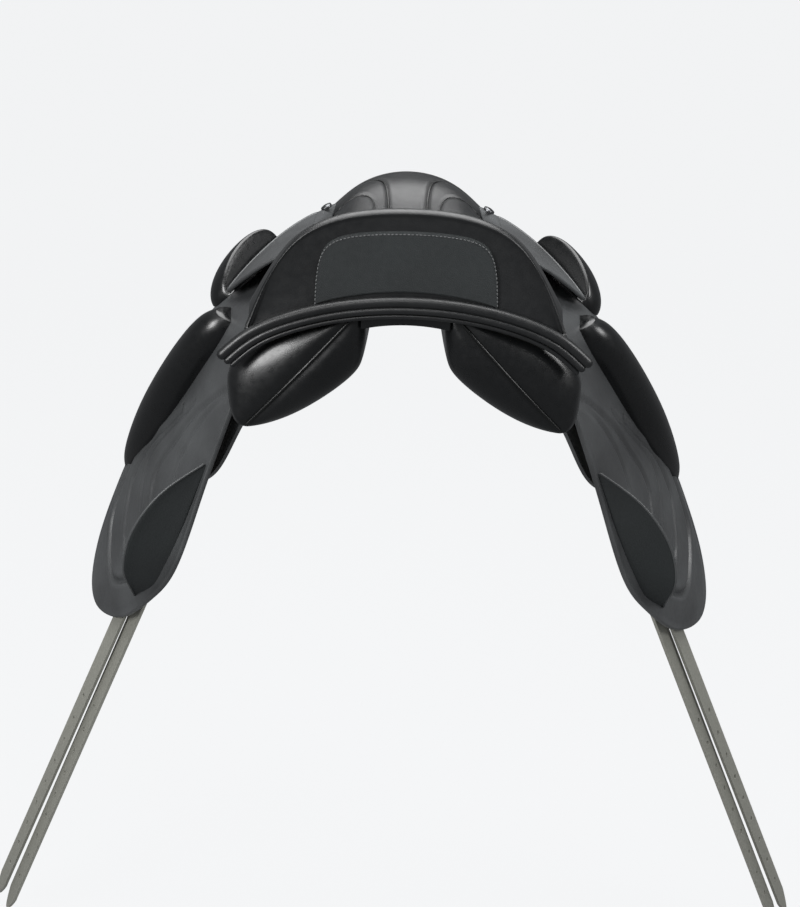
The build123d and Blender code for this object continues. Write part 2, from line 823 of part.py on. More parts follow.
write_pair(bar_rivets, "bar_rivets")

# ---------------------------------------------------------------- studs
with BuildPart() as seat_studs:
    for side in (-1, 1):
        spot = (side * stud_spot[0], stud_spot[1], stud_spot[2])
        lean_out = Plane(spot, x_dir=(0, 1, 0), z_dir=(side * 0.7, 0, 0.7))
        with BuildSketch(lean_out):
            Circle(stud_radius)
        extrude(amount=stud_height + stud_root)
    add(seat_outer.part, mode=Mode.SUBTRACT)

seat_studs.part.label = "seat_studs"
export_step(seat_studs.part, "parts/seat_studs.step")
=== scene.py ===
"""Dressage saddle in black calf, hung free over a pale floor."""
import math

import bmesh
import bpy
import numpy as np
from mathutils import Matrix, Vector


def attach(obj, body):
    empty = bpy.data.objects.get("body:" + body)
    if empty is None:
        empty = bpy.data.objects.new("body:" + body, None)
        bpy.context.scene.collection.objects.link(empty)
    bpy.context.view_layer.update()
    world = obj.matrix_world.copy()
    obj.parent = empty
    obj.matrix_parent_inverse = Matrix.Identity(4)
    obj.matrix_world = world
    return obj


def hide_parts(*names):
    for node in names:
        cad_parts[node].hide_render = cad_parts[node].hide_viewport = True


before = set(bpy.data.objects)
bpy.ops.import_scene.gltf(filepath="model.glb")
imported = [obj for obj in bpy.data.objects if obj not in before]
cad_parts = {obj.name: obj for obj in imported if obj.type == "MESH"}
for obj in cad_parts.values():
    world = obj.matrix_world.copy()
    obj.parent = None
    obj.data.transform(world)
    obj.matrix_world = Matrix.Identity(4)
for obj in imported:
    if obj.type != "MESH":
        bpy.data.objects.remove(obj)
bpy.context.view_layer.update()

# ------------------------------------------------------------------ camera, light and floor
# The saddle hangs free over a sheet of pale paper that sweeps up behind it. It is seen from
# behind and a little above by a long lens, and four soft boxes light it.
MM = 0.001
lens_length = 56.8
film_width = 36.0
camera_place = (-0.0025, -1.510, 0.371)
look_down = math.radians(19.5)
roll = math.radians(1.3)
camera_data = bpy.data.cameras.new("camera")
camera_data.lens = lens_length
camera_data.sensor_width = film_width
camera = bpy.data.objects.new("camera", camera_data)
bpy.context.collection.objects.link(camera)
camera.matrix_world = (
    Matrix.Translation(camera_place)
    @ Matrix.Rotation(math.pi / 2 - look_down, 4, "X")
    @ Matrix.Rotation(roll, 4, "Z")
)
bpy.context.scene.camera = camera


def soft_light(name, place, target, size, watts):
    """Hang a square soft box at a place, facing a target."""
    data = bpy.data.lights.new(name, "AREA")
    data.shape = "SQUARE"
    data.size = size
    data.energy = watts
    lamp = bpy.data.objects.new(name, data)
    lamp.location = place
    aim = Vector(target) - Vector(place)
    lamp.rotation_euler = aim.to_track_quat("-Z", "Y").to_euler()
    bpy.context.collection.objects.link(lamp)


soft_light("overhead_box", (0.0, 0.1, 1.8), (0, 0, 0), 2.2, 96)
soft_light("left_box", (-1.3, -1.5, 0.7), (0, 0, -0.1), 0.8, 34)
soft_light("right_box", (1.7, -0.9, 1.0), (0, 0, -0.1), 0.7, 20)
soft_light("rear_box", (-0.2, -2.2, 1.7), (0, 0, 0), 0.6, 9)

world = bpy.data.worlds.new("studio")
world.use_nodes = True
backdrop = world.node_tree.nodes["Background"]
backdrop.inputs["Color"].default_value = (0.95, 0.97, 1.0, 1)
backdrop.inputs["Strength"].default_value = 0.16
bpy.context.scene.world = world
bpy.context.scene.view_settings.view_transform = "Standard"


def linear(code):
    """Turn an sRGB hex colour into linear light."""
    values = []
    for start in (0, 2, 4):
        part = int(code[start:start + 2], 16) / 255
        values.append(part / 12.92 if part <= 0.04045 else ((part + 0.055) / 1.055) ** 2.4)
    return (*values, 1.0)


def add_node(material, kind, settings=None, links=None, **attributes):
    """Add a shader node, set its plain inputs and link the rest from other nodes' outputs."""
    node = material.node_tree.nodes.new(kind)
    for name, value in attributes.items():
        setattr(node, name, value)
    for name, value in (settings or {}).items():
        node.inputs[name].default_value = value
    for name, socket in (links or {}).items():
        material.node_tree.links.new(socket, node.inputs[name])
    return node


def new_material(name):
    """Start an empty material and return it with its output node."""
    material = bpy.data.materials.new(name)
    material.use_nodes = True
    material.node_tree.nodes.clear()
    return material, add_node(material, "ShaderNodeOutputMaterial")


def grid_piece(name, points, material, wrap_rows=False, wrap=False, ends=(False, False)):
    """Make an object from a grid of points in millimetres.

    wrap joins the last column to the first and wrap_rows the last row to the first; ends says
    which of the first and last rows are closed with a fan to their middle.
    """
    rows, columns = points.shape[:2]
    verts = points.reshape(-1, 3) * MM
    number = np.arange(rows * columns).reshape(rows, columns)
    if wrap:
        number = np.hstack([number, number[:, :1]])
    if wrap_rows:
        number = np.vstack([number, number[:1]])
    quads = np.stack(
        [number[:-1, :-1], number[:-1, 1:], number[1:, 1:], number[1:, :-1]], axis=-1
    ).reshape(-1, 4)
    faces = quads.tolist()
    for close, line, flip in ((ends[0], number[0], True), (ends[1], number[-1], False)):
        if close:
            middle = len(verts)
            verts = np.vstack([verts, verts[line].mean(axis=0)])
            fan = np.stack([line[:-1], line[1:], np.full(len(line) - 1, middle)], axis=-1)
            faces += (fan[:, ::-1] if flip else fan).tolist()
    mesh = bpy.data.meshes.new(name)
    mesh.from_pydata(verts.tolist(), [], faces)
    mesh.update()
    piece = bpy.data.objects.new(name, mesh)
    bpy.context.collection.objects.link(piece)
    tidy_mesh(piece)
    mesh.materials.append(material)
    return piece


def tidy_mesh(piece):
    """Merge doubled points, drop empty faces, turn every face outwards and smooth them."""
    work = bmesh.new()
    work.from_mesh(piece.data)
    bmesh.ops.remove_doubles(work, verts=work.verts, dist=0.04 * MM)
    bmesh.ops.dissolve_degenerate(work, edges=work.edges, dist=0.01 * MM)
    bmesh.ops.recalc_face_normals(work, faces=work.faces)
    work.to_mesh(piece.data)
    work.free()
    piece.data.polygons.foreach_set("use_smooth", np.ones(len(piece.data.polygons), bool))


floor_low = -0.86
floor_back = 5.0
sweep_radius = 3.0
floor_front = -6.0
wall_top = 6.0
floor_half_width = 9.0
sweep_angle = np.linspace(0, np.pi / 2, 24)
sweep_y = floor_back + sweep_radius * np.sin(sweep_angle)
sweep_z = floor_low + sweep_radius * (1 - np.cos(sweep_angle))
floor_y = np.concatenate([[floor_front], sweep_y, [floor_back + sweep_radius]])[:, None]
floor_z = np.concatenate([[floor_low], sweep_z, [wall_top]])[:, None]
floor_x = np.linspace(-floor_half_width, floor_half_width, 3)[None]
floor_grid = np.stack(np.broadcast_arrays(floor_x, floor_y, floor_z), axis=-1)
floor_paint, floor_out = new_material("pale_paper")
floor_shader = add_node(
    floor_paint, "ShaderNodeBsdfPrincipled",
    {"Base Color": linear("2A2A2B"), "Roughness": 1.0, "Specular IOR Level": 0.0,
     "Emission Color": linear("F4F5F6"), "Emission Strength": 0.97},
)
floor_paint.node_tree.links.new(floor_shader.outputs[0], floor_out.inputs[0])
floor = grid_piece("floor", floor_grid / MM, floor_paint)
floor.visible_glossy = False


# ------------------------------------------------------------------ seat cover
# Calf is blocked over the foam and pulled down round the tree. It rises to a rolled cantle behind
# and to the pommel in front, and it turns down the cantle's back to the welt.
def leather(name, colour, rubbed, roughness, pore_mm, depth, coat=0.0):
    """Leather with pores, creases seven pores apart, and a slow drift from dye to rubbed tone.

    The relief is the distance to the nearest pore plus a third of the crease noise; the
    creases also move the roughness a little about its own value.
    """
    crease_mm = pore_mm * 7
    drift_mm = 1000 / 9
    relief_mm = 0.4
    material, out = new_material(name)
    place = add_node(material, "ShaderNodeTexCoord")
    pores = add_node(
        material, "ShaderNodeTexVoronoi", {"Scale": 1 / (pore_mm * MM)},
        {"Vector": place.outputs["Object"]}, feature="F1",
    )
    creases = add_node(
        material, "ShaderNodeTexNoise", {"Scale": 1 / (crease_mm * MM), "Detail": 5.0},
        {"Vector": place.outputs["Object"]},
    )
    drift = add_node(
        material, "ShaderNodeTexNoise", {"Scale": 1 / (drift_mm * MM), "Detail": 3.0},
        {"Vector": place.outputs["Object"]},
    )
    ramp = add_node(
        material, "ShaderNodeMapRange",
        {"From Min": 0.35, "From Max": 0.7, "To Min": 0.0, "To Max": 0.8},
        {"Value": drift.outputs["Fac"]},
    )
    # The Mix node's colour sockets share names with its number sockets, so they go by place.
    tone = add_node(
        material, "ShaderNodeMix", {6: linear(colour), 7: linear(rubbed)},
        {0: ramp.outputs[0]}, data_type="RGBA",
    )
    gloss = add_node(
        material, "ShaderNodeMapRange",
        {"From Min": 0.3, "From Max": 0.7, "To Min": roughness - 0.05, "To Max": roughness + 0.07},
        {"Value": creases.outputs["Fac"]},
    )
    relief = add_node(
        material, "ShaderNodeMath", {1: 0.35}, {0: creases.outputs["Fac"]}, operation="MULTIPLY"
    )
    height = add_node(
        material, "ShaderNodeMath", None,
        {0: pores.outputs["Distance"], 1: relief.outputs[0]}, operation="ADD",
    )
    bump = add_node(
        material, "ShaderNodeBump", {"Strength": depth, "Distance": relief_mm * MM},
        {"Height": height.outputs[0]},
    )
    shader = add_node(
        material, "ShaderNodeBsdfPrincipled",
        {"IOR": 1.48, "Coat Weight": coat, "Coat Roughness": 0.22, "Specular IOR Level": 0.5},
        {"Base Color": tone.outputs[2], "Roughness": gloss.outputs[0], "Normal": bump.outputs[0]},
    )
    material.node_tree.links.new(shader.outputs[0], out.inputs[0])
    return material


seat_calf = leather("waxed_calf", "0F1011", "1A1B1C", 0.40, 1.1, 0.14, coat=0.1)
piping_calf = leather("piping_calf", "060707", "0B0C0C", 0.32, 0.8, 0.05)
SIDES = {"right": 1, "left": -1}
# Each row: place along the seat, half width, then the heights of its side, shoulder, middle
# and foot, all in millimetres.
seat_sections = [
    (-232, 142, 43, 126, 149, 33), (-201.2, 144, 56, 119, 132, 29), (-144, 131, 52, 73, 73, 25),
    (-47.2, 100, 46, 56, 52, 28), (49.6, 94, 54, 62, 60, 30), (137.6, 91, 66, 88, 90, 35),
    (208, 86, 78, 100, 116, 51),
]
cover_proud = 1.8
pommel_crest = 178.0
pommel_spring = 5.0
pommel_length = 26.0
pommel_half = 96.0
pommel_base_height = 68.0
pommel_base_drop = 17.0
cantle_face = -238.0
cantle_half = 144.0
cantle_hollow = 1.2
cantle_base_height = 70.0
cantle_base_drop = 38.0
rim_roll = 7.5
rim_share = 0.07
lip_out = 3.2
lip_share = 0.06
seat_leather = 3.0


def spline_weights(count, samples, closed=False):
    """Weights that carry a smooth cubic curve through evenly numbered points.

    The curve is a uniform cubic B-spline whose coefficients are solved so that it passes through
    every point; an open curve has no bending at its ends.
    """
    system = np.zeros((count, count))
    rows = np.arange(count)
    system[rows, rows] = 4 / 6
    system[rows, (rows + 1) % count] += 1 / 6
    system[rows, (rows - 1) % count] += 1 / 6
    if not closed:
        system[[0, -1]] = 0
        system[0, 0] = system[-1, -1] = 1
    solved = np.linalg.inv(system)
    place = np.linspace(0, count if closed else count - 1, samples, endpoint=not closed)
    first = np.minimum(place.astype(int), count - 1 if closed else count - 2)
    f = place - first
    basis = np.stack(
        [(1 - f) ** 3 / 6, (3 * f**3 - 6 * f**2 + 4) / 6, (-3 * f**3 + 3 * f**2 + 3 * f + 1) / 6,
         f**3 / 6]
    )
    weights = np.zeros((samples, count))
    line = np.arange(samples)
    for step in range(4):
        index = first - 1 + step
        if closed:
            np.add.at(weights, (line, index % count), basis[step])
            continue
        low = index < 0
        high = index >= count
        inside = ~(low | high)
        np.add.at(weights, (line[inside], index[inside]), basis[step][inside])
        np.add.at(weights, (line[low], 0), 2 * basis[step][low])
        np.add.at(weights, (line[low], 1), -basis[step][low])
        np.add.at(weights, (line[high], count - 1), 2 * basis[step][high])
        np.add.at(weights, (line[high], count - 2), -basis[step][high])
    return weights @ solved


def curve_through(points, samples, closed=False):
    """Smooth curve through a few points."""
    return spline_weights(len(points), samples, closed) @ np.asarray(points, float)


def chord_curve(points, knots, samples):
    """Natural cubic through points set at the given knots, read at evenly spaced places.

    The second derivatives come from one set of equations: the slopes agree at every inner knot,
    and the second derivative is nil at both ends.
    """
    points = np.asarray(points, float)
    flat = points.reshape(len(points), -1)
    gap = np.diff(knots)
    system = np.eye(len(knots))
    inner = np.arange(1, len(knots) - 1)
    system[inner, inner - 1] = gap[inner - 1]
    system[inner, inner] = 2 * (gap[inner - 1] + gap[inner])
    system[inner, inner + 1] = gap[inner]
    right = np.zeros_like(flat)
    right[1:-1] = 6 * np.diff(np.diff(flat, axis=0) / gap[:, None], axis=0)
    bend = np.linalg.solve(system, right)
    at = np.linspace(knots[0], knots[-1], samples)
    k = np.clip(np.searchsorted(knots, at) - 1, 0, len(knots) - 2)
    ahead = (np.asarray(knots)[k + 1] - at)[:, None]
    behind = (at - np.asarray(knots)[k])[:, None]
    step = gap[k][:, None]
    value = (
        bend[k] * ahead**3 / (6 * step) + bend[k + 1] * behind**3 / (6 * step)
        + (flat[k] / step - bend[k] * step / 6) * ahead
        + (flat[k + 1] / step - bend[k + 1] * step / 6) * behind
    )
    return value.reshape((samples,) + points.shape[1:])


def seat_section(half, side, shoulder, crown, foot):
    """One line across the seat: up a side wall, over two shoulders and the middle, and down."""
    half = half + cover_proud
    bend = half * 0.66
    high = shoulder + cover_proud
    points = np.array([(-half, side), (-bend, high), (0, crown + cover_proud), (bend, high),
                       (half, side)])
    knots = np.concatenate([[0], np.cumsum(np.linalg.norm(np.diff(points, axis=0), axis=1))])
    over = chord_curve(points, knots, 150)
    fall = np.linspace(0, 1, 13)[1:]
    wall = np.column_stack([half + 0.9 * np.sin(np.pi * fall), side + (foot - side) * fall])
    return np.vstack([(wall * (-1, 1))[::-1], over, wall])


def seat_surface():
    """The seat from the foot of the cantle's back, over its rolled rim, to the pommel's lip.

    The back runs from the base arc to the rim; the rim is a quarter circle; then come the
    sections along the seat, and at the front the last one is drawn down into a short lip.
    """
    sections = np.array([seat_section(*row[1:]) for row in seat_sections])
    places = np.array([row[0] for row in seat_sections], float)
    spread_places = np.broadcast_to(places[:, None], sections.shape[:2])
    along = chord_curve(np.dstack([sections, spread_places]), places, 170)
    top = np.stack([along[..., 0], along[..., 2], along[..., 1]], axis=-1)
    spring = np.exp(-(((top[..., 1] - pommel_crest) / pommel_length) ** 2))
    top[..., 2] += pommel_spring * spring * np.clip(1 - (top[..., 0] / pommel_half) ** 4, 0, 1)
    rim = sections[0]
    base_z = cantle_base_height - cantle_base_drop * np.abs(rim[:, 0] / cantle_half) ** 1.9
    base = np.column_stack([rim[:, 0], base_z])
    reach = np.linspace(1, rim_share, 34)[:, None, None]
    flat = rim[None] + (base - rim)[None] * reach
    hollow = cantle_hollow * np.sin(np.linspace(0, np.pi, 34))[:, None]
    back = np.stack([flat[..., 0], cantle_face + hollow + 0 * flat[..., 0], flat[..., 1]], axis=-1)
    turn = np.linspace(0, np.pi / 2, 9)[1:-1]
    inward = (base - rim) * rim_share
    roll = np.stack(
        [rim[None, :, 0] + inward[None, :, 0] * (1 - np.sin(turn))[:, None],
         places[0] - rim_roll * np.cos(turn)[:, None] + 0 * rim[None, :, 0],
         rim[None, :, 1] + inward[None, :, 1] * (1 - np.sin(turn))[:, None]], axis=-1,
    )
    last = top[-1]
    front_z = pommel_base_height - pommel_base_drop * (last[:, 0] / 87) ** 2
    front_base = np.column_stack([last[:, 0] * 0.98, front_z])
    inside = (front_base - last[:, [0, 2]]) * lip_share
    lip_turn = np.linspace(0, np.pi / 2, 8)[1:]
    lip = np.stack(
        [last[None, :, 0] + inside[None, :, 0] * (1 - np.cos(lip_turn))[:, None],
         places[-1] + lip_out * np.sin(lip_turn)[:, None] + 0 * last[None, :, 0],
         last[None, :, 2] + inside[None, :, 1] * (1 - np.cos(lip_turn))[:, None]], axis=-1,
    )
    fill = np.linspace(0, 1, 14)[1:, None, None]
    front = lip[-1][None, :, [0, 2]] + (front_base - lip[-1][:, [0, 2]])[None] * fill
    front_y = places[-1] + lip_out + 0 * front[..., 0]
    front = np.stack([front[..., 0], front_y, front[..., 1]], axis=-1)
    return np.vstack([back, roll, top, lip, front])


def distance_to(line, places):
    """Distance in plan from every place to the nearest point of a line, worked out in blocks."""
    flat = places[..., :2].reshape(-1, 2)
    block = 4000
    near = [
        ((flat[start:start + block, None] - line[None, :, :2]) ** 2).sum(axis=-1).min(axis=1)
        for start in range(0, len(flat), block)
    ]
    return np.sqrt(np.concatenate(near)).reshape(places.shape[:-1])


def groove(points, line, width, depth):
    """Lower points along a line in plan by a bell curve of their distance from it."""
    pressed = points.copy()
    pressed[..., 2] -= depth * np.exp(-((distance_to(line, points) / width) ** 2))
    return pressed


def thicken(piece, thickness, offset=-1):
    """Give a single skin the leather's thickness in millimetres, inwards unless told otherwise."""
    shell = piece.modifiers.new("leather_thickness", "SOLIDIFY")
    shell.thickness = thickness * MM
    shell.offset = offset


seat_top = seat_surface()
outer_welt = curve_through([(64, 199), (46, 196), (31, 184), (24, 160), (22, 120), (24, 70)], 160)
inner_welt = curve_through([(86, 152), (68, 158), (50, 154), (40, 140), (37, 110), (38, 70)], 140)
for line, width, depth in ((outer_welt, 3.2, 2.6), (inner_welt, 2.2, 1.4)):
    for side in SIDES.values():
        seat_top = groove(seat_top, line * (side, 1), width, depth)

seat = grid_piece("seat_cover_calf", seat_top, seat_calf)
thicken(seat, seat_leather)
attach(seat, "saddle_tree")
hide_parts("seat_cover", "cantle_back")


top_rows = slice(41, 218)
over_columns = slice(12, 162)


def height_on_seat(xy):
    """Height of the seat's top in plan: the four nearest grid points, weighed by nearness.

    The rows of the cantle's back and the front wall, and the side walls' columns, are left out.
    """
    tops = seat_top[top_rows, over_columns].reshape(-1, 3)
    gap = ((tops[None, :, :2] - xy[:, None, :2]) ** 2).sum(axis=-1)
    near = np.argsort(gap, axis=1)[:, :4]
    weight = 1 / (np.take_along_axis(gap, near, 1) + 0.5)
    return (tops[near, 2] * weight).sum(axis=1) / weight.sum(axis=1)


def tube(name, path, radius, material, sides=10, up=(0, 0, 1)):
    """Carry a ring along a path and close its ends with small domes.

    The ring stands square to the path, turned by the up direction; its radius falls by the sine
    of an angle over each dome.
    """
    path = np.asarray(path, float)
    tangent = np.gradient(path, axis=0)
    tangent /= np.linalg.norm(tangent, axis=1, keepdims=True)
    across = np.cross(tangent, np.asarray(up, float))
    across /= np.linalg.norm(across, axis=1, keepdims=True)
    lift = np.cross(across, tangent)
    dome_angle = np.linspace(0.15, np.pi / 2, 5)
    past_end = radius * np.cos(dome_angle)[:, None]
    head = path[0] - tangent[0] * past_end
    tail = path[-1] + tangent[-1] * past_end[::-1]
    spine = np.vstack([head, path, tail])
    dome = np.sin(dome_angle)
    size = radius * np.concatenate([dome, np.ones(len(path)), dome[::-1]])
    side_way = np.pad(across, ((len(dome), len(dome)), (0, 0)), mode="edge")
    up_way = np.pad(lift, ((len(dome), len(dome)), (0, 0)), mode="edge")
    turn = np.linspace(0, 2 * np.pi, sides, endpoint=False)
    ring = (
        side_way[:, None] * np.cos(turn)[None, :, None]
        + up_way[:, None] * np.sin(turn)[None, :, None]
    )
    points = spine[:, None] + ring * size[:, None, None]
    return grid_piece(name, points, material, wrap=True, ends=(True, True))


for side_name, side in SIDES.items():
    for label, line, radius in (("outer", outer_welt, 1.7), ("inner", inner_welt, 1.0)):
        path = np.column_stack([line * (side, 1), height_on_seat(line * (side, 1))])
        welt = tube(f"pommel_{label}_welt_{side_name}", path, radius, piping_calf)
        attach(welt, "saddle_tree")

# ------------------------------------------------------------------ cantle inset
# A panel of buffed calf is let into the back of the cantle, where it takes the rider's rubbing.
# Its edge is skived thin, glued down and stitched all round.
matte_calf = leather("buffed_calf", "171A1B", "1E2223", 0.80, 0.9, 0.35)
inset_edge = [
    (-83, 62), (-82, 84), (-78, 108), (-66, 123), (-40, 129.5), (0, 131.5),
    (40, 129.5), (66, 123), (78, 108), (82, 84), (83, 62),
]
inset_half = 83.0
inset_foot_middle = 76.0
inset_foot_drop = 12.0
inset_bed = -237.2
inset_proud = 2.6
inset_leather = 2.0


def inset_foot(edge):
    """Foot line below an edge curve: a shallow arch, highest in the middle."""
    height = inset_foot_middle - inset_foot_drop * (edge[:, 0] / inset_half) ** 2
    return np.column_stack([edge[:, 0] * 0.98, height])


def inset_surface():
    """Surface of the inset: straight lines from its edge curve to its foot line.

    It stands off the cantle by a rise that grows as a parabola over the first twelfth.
    """
    edge = curve_through(inset_edge, 120)
    reach = np.linspace(0, 1, 40)
    plan = edge[None] * (1 - reach[:, None, None]) + inset_foot(edge)[None] * reach[:, None, None]
    crown = 1 - np.clip(1 - reach / 0.08, 0, 1) ** 2
    depth = inset_bed - inset_proud * crown[:, None] + 0.0 * plan[..., 0]
    return np.dstack([plan[..., 0], depth, plan[..., 1]])


inset = grid_piece("cantle_inset_panel", inset_surface(), matte_calf)
thicken(inset, inset_leather)
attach(inset, "saddle_tree")
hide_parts("cantle_inset")

# ------------------------------------------------------------------ stitching
# Waxed thread runs round the inset, seven stitches to the inch. Each stitch is a short bead
# pulled into the leather.
stitch_pitch = 3.6
thread_radius = 0.55
seam_share = 0.95
seam_face = -240.0
thread, thread_out = new_material("waxed_thread")
thread_shader = add_node(
    thread, "ShaderNodeBsdfPrincipled",
    {"Base Color": linear("4A4B4C"), "Roughness": 0.55, "Sheen Weight": 0.2},
)
thread.node_tree.links.new(thread_shader.outputs[0], thread_out.inputs[0])


def stitches(name, path, body):
    """Lay beads of thread along a path in millimetres, one for each pitch of its length.

    A bead is five rings of six points, carried along the path's own direction.
    """
    path = np.asarray(path, float)
    run = np.concatenate([[0], np.cumsum(np.linalg.norm(np.diff(path, axis=0), axis=1))])
    marks = np.arange(stitch_pitch / 2, run[-1], stitch_pitch)
    middle = np.column_stack([np.interp(marks, run, path[:, k]) for k in range(3)])
    ahead = np.column_stack([np.interp(marks + 0.5, run, path[:, k]) for k in range(3)]) - middle
    ahead /= np.maximum(np.linalg.norm(ahead, axis=1, keepdims=True), 1e-9)
    other = np.cross(ahead, (0.31, 0.9, 0.29))
    other /= np.linalg.norm(other, axis=1, keepdims=True)
    third = np.cross(ahead, other)
    along = np.array([-1.0, -0.75, 0, 0.75, 1.0]) * stitch_pitch * 0.36
    girth = np.array([0.05, 0.75, 1.0, 0.75, 0.05]) * thread_radius
    turn = np.linspace(0, 2 * np.pi, 6, endpoint=False)
    ring_way = (
        other[:, None, None] * np.cos(turn)[None, None, :, None]
        + third[:, None, None] * np.sin(turn)[None, None, :, None]
    )
    bead = (
        middle[:, None, None] + ahead[:, None, None] * along[None, :, None, None]
        + ring_way * girth[None, :, None, None]
    )
    verts = bead.reshape(-1, 3) * MM
    base = np.arange(along.size * turn.size).reshape(along.size, turn.size)
    ring = np.hstack([base, base[:, :1]])
    one = np.stack([ring[:-1, :-1], ring[:-1, 1:], ring[1:, 1:], ring[1:, :-1]], -1).reshape(-1, 4)
    faces = (one[None] + (np.arange(len(marks)) * base.size)[:, None, None]).reshape(-1, 4)
    mesh = bpy.data.meshes.new(name)
    mesh.from_pydata(verts.tolist(), [], faces.tolist())
    piece = bpy.data.objects.new(name, mesh)
    bpy.context.collection.objects.link(piece)
    tidy_mesh(piece)
    mesh.materials.append(thread)
    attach(piece, body)
    return piece


edge_line = curve_through(inset_edge, 160)
foot_line = inset_foot(edge_line)
seam = foot_line + (edge_line - foot_line) * seam_share
seam_path = np.column_stack([seam[:, 0], np.full(len(seam), seam_face), seam[:, 1]])
stitches("inset_stitching", seam_path, "saddle_tree")

# ------------------------------------------------------------------ rear welt
# Two fat rolls and a thin piping are bent over the panels and sewn between them and the cantle.
# Each row: name, how far above the welt's middle line, its place fore and aft, and its radius.
welt_rolls = [
    ("upper_roll", 3.0, -240.0, 5.2), ("middle_roll", -4.5, -241.0, 3.6),
    ("lower_piping", -10.5, -240.0, 2.3),
]
welt_line = curve_through(
    [(-166, 12), (-140, 33), (-103, 49), (-55, 60), (0, 64), (55, 60), (103, 49), (140, 33),
     (166, 12)], 180,
)
welt_run = np.gradient(welt_line, axis=0)
welt_up = np.column_stack([-welt_run[:, 1], welt_run[:, 0]])
welt_up /= np.linalg.norm(welt_up, axis=1, keepdims=True)
for label, above, back, radius in welt_rolls:
    plan = welt_line + welt_up * above
    path = np.column_stack([plan[:, 0], np.full(len(plan), back), plan[:, 1]])
    part = tube(f"rear_welt_{label}", path, radius, seat_calf, sides=18, up=(0, 1, 0))
    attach(part, "saddle_tree")
    if label == "upper_roll":
        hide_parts("rear_welt")

# ------------------------------------------------------------------ panels
# Each panel is a bag of polished calf stuffed with wool flock, laced to the tree. Its two skins
# meet at the rear in a diagonal gusset seam with piping sewn into it.
smooth_calf = leather("polished_calf", "08090A", "0F1011", 0.30, 1.0, 0.07, coat=0.2)
# Each row: place along the panel, and the points round its section.
panel_rows = [
    (-212, [(39, 54), (38, 16), (47, -8), (74, -31), (110, -52), (143, -61), (162, -53),
            (167, -27), (163, -2), (138, 26), (103, 41), (64, 53)]),
    (-150, [(39, 34), (38, 4), (46, -16), (66, -35), (92, -49), (118, -56), (137, -48),
            (145, -25), (138, 1), (116, 18), (88, 27), (60, 33)]),
    (-50, [(39, 8), (38, -8), (46, -24), (62, -39), (84, -51), (104, -56), (120, -49),
           (126, -30), (120, -12), (104, 0), (84, 4), (58, 6)]),
    (50, [(39, 4), (40, -12), (48, -28), (62, -43), (82, -55), (100, -59), (114, -51),
          (120, -32), (114, -12), (100, -2), (82, 2), (58, 3)]),
    (150, [(45, 12), (46, -4), (54, -26), (68, -45), (86, -57), (102, -61), (114, -52),
           (119, -34), (115, -14), (104, -2), (84, 6), (62, 11)]),
]
seam_top = np.array([46.0, 52.0])
seam_foot = np.array([149.0, -57.0])
nose_middle = np.array([82.0, 0.0, -24.0])
nose_length = 22.0
rear_swell = 30.0
seam_ridge = 3.0
seam_width = 7.0
gusset_face = -232.2
gusset_bow = 7.5
gusset_radius = 1.5


def surface_through(net, rows, columns, closed=False):
    """Smooth surface through a net of points: cubic along its rows and across them."""
    net = np.asarray(net, float)
    along = spline_weights(net.shape[0], rows)
    across = spline_weights(net.shape[1], columns, closed)
    return np.einsum("ia,abk,jb->ijk", along, net, across)


def mirrored(points, side):
    """Put a right-hand grid on the given side of the saddle."""
    return points * np.array([side, 1, 1])


def panel_surface():
    """Panel's rows from the front to the rear, then drawn together on the gusset seam.

    Behind the last station each point slides towards its nearest place on the seam by the cosine
    of an angle, while it moves back by the sine, so the two skins swell and meet.
    """
    net = np.array([[(x, y, z) for x, z in row] for y, row in panel_rows])
    body = surface_through(net, 90, 120, closed=True)[::-1]
    last = body[-1]
    direction = seam_foot - seam_top
    share = np.clip(((last[:, [0, 2]] - seam_top) @ direction) / (direction @ direction), 0, 1)
    target = seam_top + share[:, None] * direction
    angle = (np.pi / 2 * np.linspace(0, 1, 44) ** 0.8)[1:, None]
    flat = target[None] + (last[None, :, [0, 2]] - target[None]) * np.cos(angle)[..., None]
    swell = 0.75 + 0.25 * np.sin(share * np.pi)
    back = last[None, :, 1] - rear_swell * np.sin(angle) * swell
    to_seam = np.linalg.norm(last[:, [0, 2]] - target, axis=1)[None] * np.cos(angle)
    back = back + seam_ridge * np.exp(-((to_seam / seam_width) ** 2))
    rear = np.dstack([flat[..., 0], back, flat[..., 1]])
    angle = np.linspace(np.pi / 2, 0, 14)[:-1, None, None]
    first = body[0][None]
    nose = nose_middle + (first - nose_middle) * np.cos(angle)
    nose[..., 1] = first[..., 1] + nose_length * np.sin(angle[..., 0])
    return np.vstack([nose, body, rear])


gusset_share = np.linspace(0.02, 0.98, 90)
gusset_plan = seam_top + gusset_share[:, None] * (seam_foot - seam_top)
gusset_y = gusset_face - gusset_bow * np.sin(np.pi * gusset_share)
gusset_line = np.column_stack([gusset_plan[:, 0], gusset_y, gusset_plan[:, 1]])
for side_name, side in SIDES.items():
    gusset_path = mirrored(gusset_line, side)
    gusset = tube(
        f"panel_gusset_piping_{side_name}", gusset_path, gusset_radius, piping_calf, up=(0, 1, 0)
    )
    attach(gusset, "saddle_tree")
    panel_points = mirrored(panel_surface(), side)
    panel = grid_piece(f"panel_cushion_{side_name}", panel_points, smooth_calf, wrap=True)
    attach(panel, "saddle_tree")
    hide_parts(f"panel_{side_name}")

